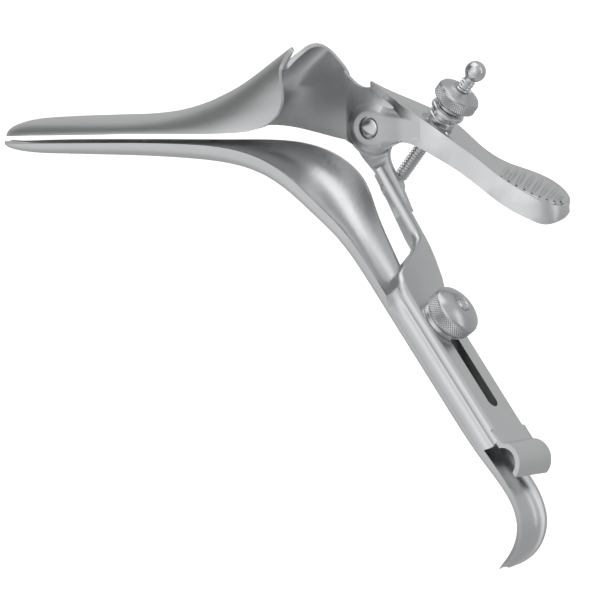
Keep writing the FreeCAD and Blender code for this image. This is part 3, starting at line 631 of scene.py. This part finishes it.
# Clamp: stud, washer and knurled nut on the slide.
STUD = [(0.0, -22.38), (2.4, -22.38), (2.4, -20.88), (4.0, -20.88), (4.0, -9.4), (2.4, -9.4), (2.4, 3.0),
        (2.1, 3.5), (1.7, 3.55), (1.5, 3.2), (0.0, 3.1)]
spun("clamp_stud_steel", STUD, CLAMP_AXIS, "lower_half", BRIGHT, "clamp_stud", 48)
CLAMP_WASHER = [(2.56, -7.45), (8.4, -7.45), (8.6, -7.25), (8.6, -5.9), (8.3, -5.6), (8.1, -5.55),
                (2.56, -5.55)]
spun("clamp_washer_steel", CLAMP_WASHER, CLAMP_AXIS, "clamp_ring", BRIGHT, "clamp_washer")
CLAMP_BORE = 2.46
CLAMP_RIM = (9.2, -4.6, 0.1)
CLAMP_NUT = ([(CLAMP_BORE, -5.5), (8.2, -5.5), (8.6, -5.4)]
             + rim_rows(*CLAMP_RIM)
             + [(8.9, 0.65), (8.6, 0.9), (7.6, 1.55), (6.2, 2.3), (4.8, 2.85), (4.0, 3.05), (3.2, 3.1),
                (2.8, 2.9), (CLAMP_BORE, 2.8)])
knurled_nut("clamp_nut_steel", CLAMP_NUT, CLAMP_RIM, 60, 0.29, CLAMP_AXIS, "clamp", "clamp_nut")


# Stage

# The floor touches the hook's lowest point; it is flat this far out, then sweeps up, in metres.
FLOOR = -0.1513
FLAT, SWEEP = 14.0, 5.0


def studio_floor():
    """A round floor of white paper whose edge sweeps up, so that its back is never seen."""
    build = bmesh.new()
    turns = [math.pi / 2 * step / 12 for step in range(1, 13)]
    profile = [(0.0, 0.0), (FLAT, 0.0)]
    profile += [(FLAT + SWEEP * math.sin(turn), SWEEP - SWEEP * math.cos(turn)) for turn in turns]
    profile += [(FLAT + SWEEP, 2 * SWEEP)]
    corners = [build.verts.new((radius, 0, height)) for radius, height in profile]
    rim = [build.edges.new(pair) for pair in zip(corners, corners[1:])]
    bmesh.ops.spin(build, geom=corners + rim, cent=(0, 0, 0), axis=(0, 0, 1), dvec=(0, 0, 0),
                   angle=2 * math.pi, steps=96, use_merge=True, use_duplicate=False)
    bmesh.ops.remove_doubles(build, verts=build.verts[:], dist=1e-5)
    bmesh.ops.translate(build, verts=build.verts[:], vec=(0, 0, FLOOR))
    mesh = bpy.data.meshes.new("studio_floor")
    build.to_mesh(mesh)
    build.free()
    mesh.materials.append(white_paper())
    mesh.shade_smooth()
    floor = bpy.data.objects.new("studio_floor", mesh)
    floor.visible_glossy = False
    bpy.context.scene.collection.objects.link(floor)


def white_paper():
    """Matt white paper that glows a little, so that it stays white in the picture."""
    material, tree, output = blank_material("white_paper_sweep")
    surface = add(tree, "ShaderNodeBsdfPrincipled",
                  {"Base Color": linear("#FBFBFB"), "Roughness": 1.0, "Specular IOR Level": 0.0,
                   "Emission Color": linear("#FFFFFF"), "Emission Strength": 0.5})
    tree.links.new(surface.outputs["BSDF"], output.inputs["Surface"])
    return material


def softbox(name, place, size_m, energy):
    """A rectangular softbox that faces the middle of the instrument."""
    data = bpy.data.lights.new(name, "AREA")
    data.shape = "RECTANGLE"
    data.size, data.size_y = size_m
    data.energy = energy
    thing = bpy.data.objects.new(name, data)
    thing.location = place
    thing.rotation_mode = "QUATERNION"
    thing.rotation_quaternion = (MIDDLE - place).to_track_quat("-Z", "Y")
    bpy.context.scene.collection.objects.link(thing)


# The photograph's view, fitted to it: its axes, and the point in its middle, in metres.
RIGHT = Vector((0.8348, 0.549, -0.0408))
UP = Vector((0.0008, 0.0728, 0.9973))
BACK = Vector((0.5505, -0.8326, 0.0604))
MIDDLE = Vector((-0.0209, -0.0011, -0.0587))


def seen(right, up, back):
    """Point at distances right of, above and in front of the middle, as the camera sees them."""
    return MIDDLE + RIGHT * right + UP * up + BACK * back


studio_floor()
softbox("softbox_above", seen(-0.1, 0.9, 0.1), (0.9, 0.7), 1.6)
softbox("softbox_right", seen(0.95, 0.25, 0.35), (0.3, 0.9), 0.5)

# A light tent: an even tone, with brighter and darker walls; direction, spread and amount.
TENT_TONE = 0.47
TENT = [((-0.55, -0.5, -0.67), 70, 0.34), ((0.12, -0.89, 0.42), 45, 0.55), ((0.6, -0.3, 0.74), 60, 0.2),
        ((-0.75, -0.45, 0.5), 55, -0.26), ((0.0, 0.84, 0.54), 65, 0.1), ((-0.45, -0.88, -0.1), 35, 0.22),
        ((0.42, -0.9, -0.1), 35, 0.3)]


def light_tent():
    """The world, which the steel mirrors: its even tone, with each wall's light added."""
    world = bpy.data.worlds.new("studio")
    bpy.context.scene.world = world
    world.use_nodes = True
    room = world.node_tree
    room.nodes.clear()
    direction = add(room, "ShaderNodeTexCoord").outputs["Generated"]
    total = None
    for aim, spread, amount in TENT:
        facing = add(room, "ShaderNodeVectorMath",
                     {"operation": "DOT_PRODUCT", 1: Vector(aim).normalized()}, {0: direction})
        wall = add(room, "ShaderNodeMapRange",
                   {"interpolation_type": "SMOOTHSTEP", "From Min": math.cos(math.radians(spread)),
                    "From Max": 1.0, "To Min": 0.0, "To Max": amount}, {"Value": facing.outputs["Value"]})
        links = {0: wall.outputs["Result"]}
        if total is not None:
            links[1] = total
        total = add(room, "ShaderNodeMath", {"operation": "ADD", 1: TENT_TONE}, links).outputs["Value"]
    backdrop = add(room, "ShaderNodeBackground", {"Color": linear("#FFFFFF")}, {"Strength": total})
    room_output = add(room, "ShaderNodeOutputWorld")
    room.links.new(backdrop.outputs["Background"], room_output.inputs["Surface"])


light_tent()

# The photograph has almost no perspective, so a long lens stands far off.
CAMERA_AWAY, FIELD, SENSOR_MM = 8.0, 0.207, 36.0
camera_data = bpy.data.cameras.new("camera")
camera_data.sensor_width = SENSOR_MM
camera_data.lens = SENSOR_MM * CAMERA_AWAY / FIELD
camera_data.clip_start = 0.01
camera_data.clip_end = 60.0
camera = bpy.data.objects.new("camera", camera_data)
bpy.context.scene.collection.objects.link(camera)
turn = Matrix((RIGHT, UP, BACK)).transposed().to_4x4()
camera.matrix_world = Matrix.Translation(MIDDLE + BACK * CAMERA_AWAY) @ turn
bpy.context.scene.camera = camera
bpy.context.scene.view_settings.view_transform = "Standard"
